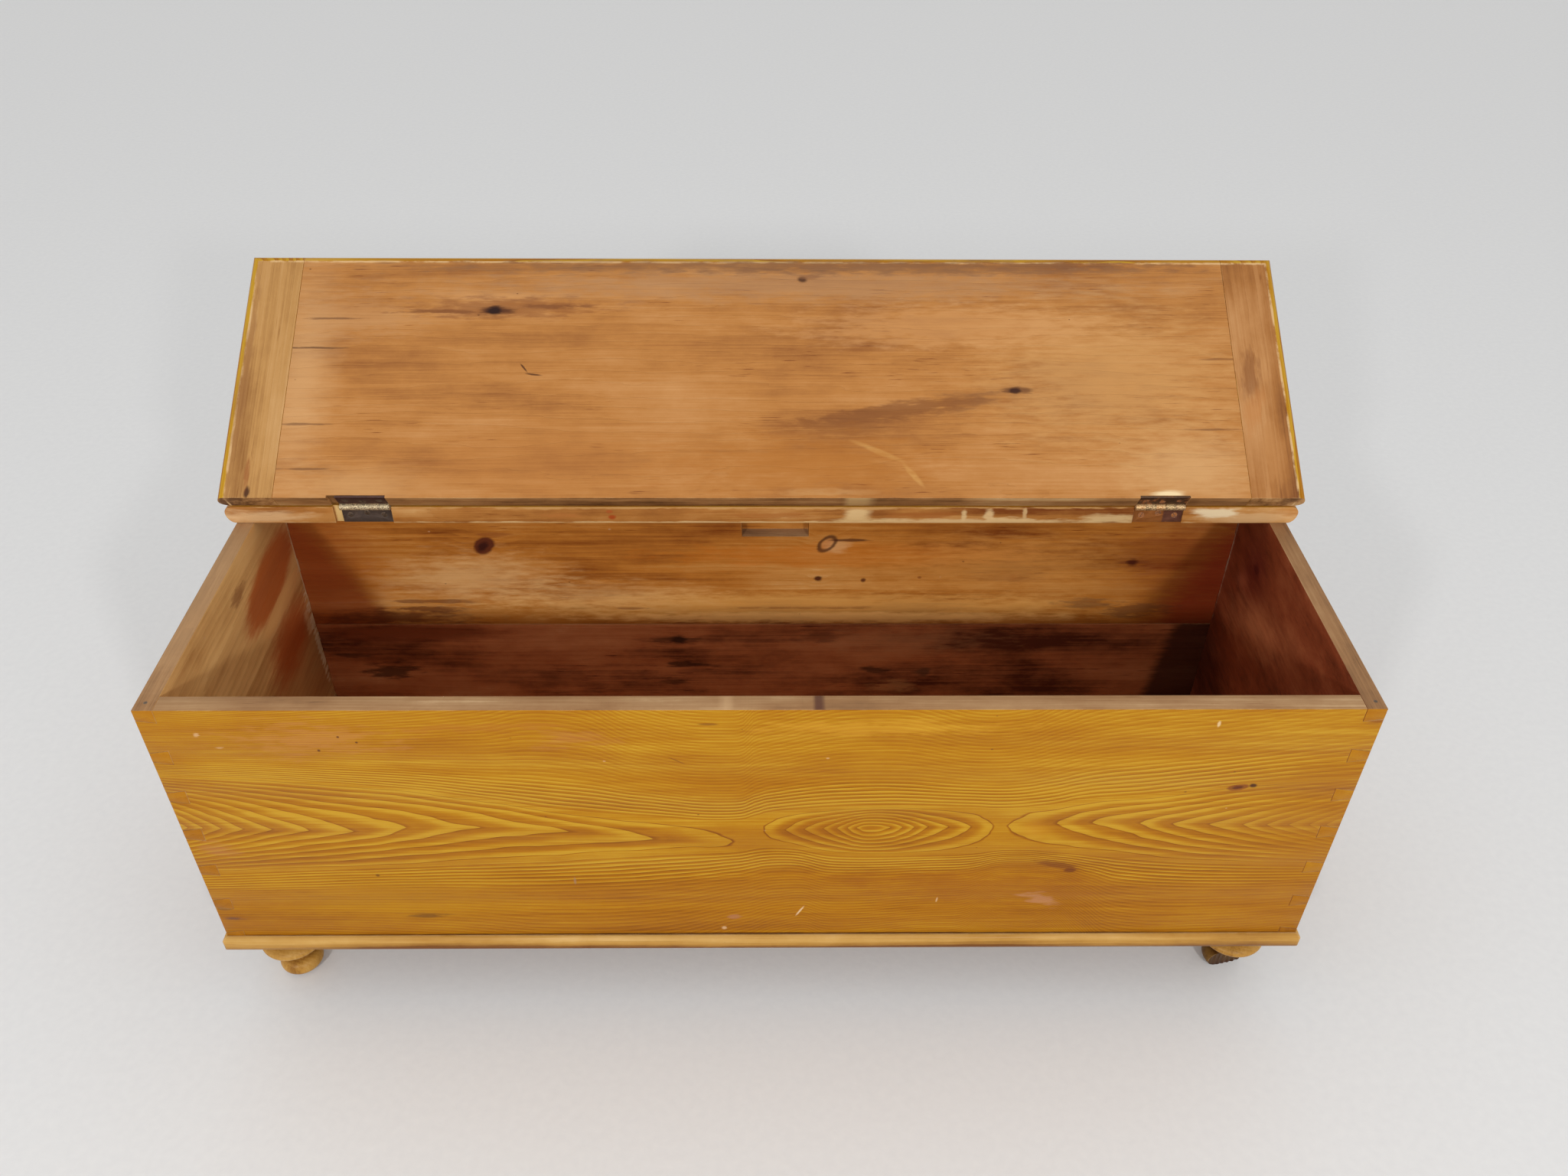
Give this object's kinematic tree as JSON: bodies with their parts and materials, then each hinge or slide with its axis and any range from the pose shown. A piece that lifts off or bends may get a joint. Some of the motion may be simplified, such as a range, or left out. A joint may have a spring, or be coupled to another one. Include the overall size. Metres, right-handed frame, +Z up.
{
  "type": "blanket chest",
  "caption": "Long dovetailed pine chest on turned feet, with a cleated lid hung on butt hinges from a fixed rear rail and shown thrown back.",
  "frame": {"origin": "on the floor, under the middle of the box that bounds the chest with its lid open", "axes": "+X to the chest's right end as seen from the front, +Y to its back, +Z up"},
  "size_m": [1.322, 0.6218, 0.725],
  "materials": {
    "front_board": "worn orange varnish",
    "back_board_upper": "aged varnish",
    "back_board_lower": "aged varnish",
    "end_board_left": "aged varnish",
    "end_board_right": "aged varnish",
    "bottom_plank_1": "unfinished",
    "bottom_plank_2": "unfinished",
    "bottom_plank_3": "unfinished",
    "base_bead_front": "honey varnish",
    "base_bead_right": "honey varnish",
    "base_bead_left": "honey varnish",
    "foot_block_front_left": "honey varnish",
    "foot_front_left": "honey varnish",
    "foot_block_rear_left": "honey varnish",
    "foot_rear_left": "honey varnish",
    "foot_block_front_right": "honey varnish",
    "foot_front_right": "honey varnish",
    "foot_block_rear_right": "honey varnish",
    "foot_rear_right": "honey varnish",
    "hinge_rail": "worn varnish",
    "lid_board": "aged varnish",
    "lid_cleat_left": "aged varnish",
    "lid_cleat_right": "aged varnish",
    "hinge_left_rail_leaf": "dull, rusted",
    "hinge_left_pin": "dull, rusted",
    "hinge_left_lid_leaf": "dull, rusted",
    "hinge_right_rail_leaf": "dull, rusted",
    "hinge_right_pin": "dull, rusted",
    "hinge_right_lid_leaf": "dull, rusted"
  },
  "bodies": {
    "case": {"front_board": "front_board", "back_board_upper": "back_board_upper", "back_board_lower": "back_board_lower", "end_board_left": "end_board_left", "end_board_right": "end_board_right", "bottom_plank_1": "bottom_plank_1", "bottom_plank_2": "bottom_plank_2", "bottom_plank_3": "bottom_plank_3", "base_bead_front": "base_bead_front", "base_bead_right": "base_bead_right", "base_bead_left": "base_bead_left", "foot_block_front_left": "foot_block_front_left", "foot_front_left": "foot_front_left", "foot_block_rear_left": "foot_block_rear_left", "foot_rear_left": "foot_rear_left", "foot_block_front_right": "foot_block_front_right", "foot_front_right": "foot_front_right", "foot_block_rear_right": "foot_block_rear_right", "foot_rear_right": "foot_rear_right", "hinge_rail": "hinge_rail", "hinge_left_rail_leaf": "hinge_left_rail_leaf", "hinge_left_pin": "hinge_left_pin", "hinge_right_rail_leaf": "hinge_right_rail_leaf", "hinge_right_pin": "hinge_right_pin"},
    "lid": {"lid_board": "lid_board", "lid_cleat_left": "lid_cleat_left", "lid_cleat_right": "lid_cleat_right", "hinge_left_lid_leaf": "hinge_left_lid_leaf", "hinge_right_lid_leaf": "hinge_right_lid_leaf"}
  },
  "joints": [
    {"name": "lid_hinge", "type": "hinge", "parent": "case", "child": "lid", "pos_m": [0, 0.02748, 0.5238], "axis": [1, 0, 0], "range_deg": [0, 147.3]}
  ]
}
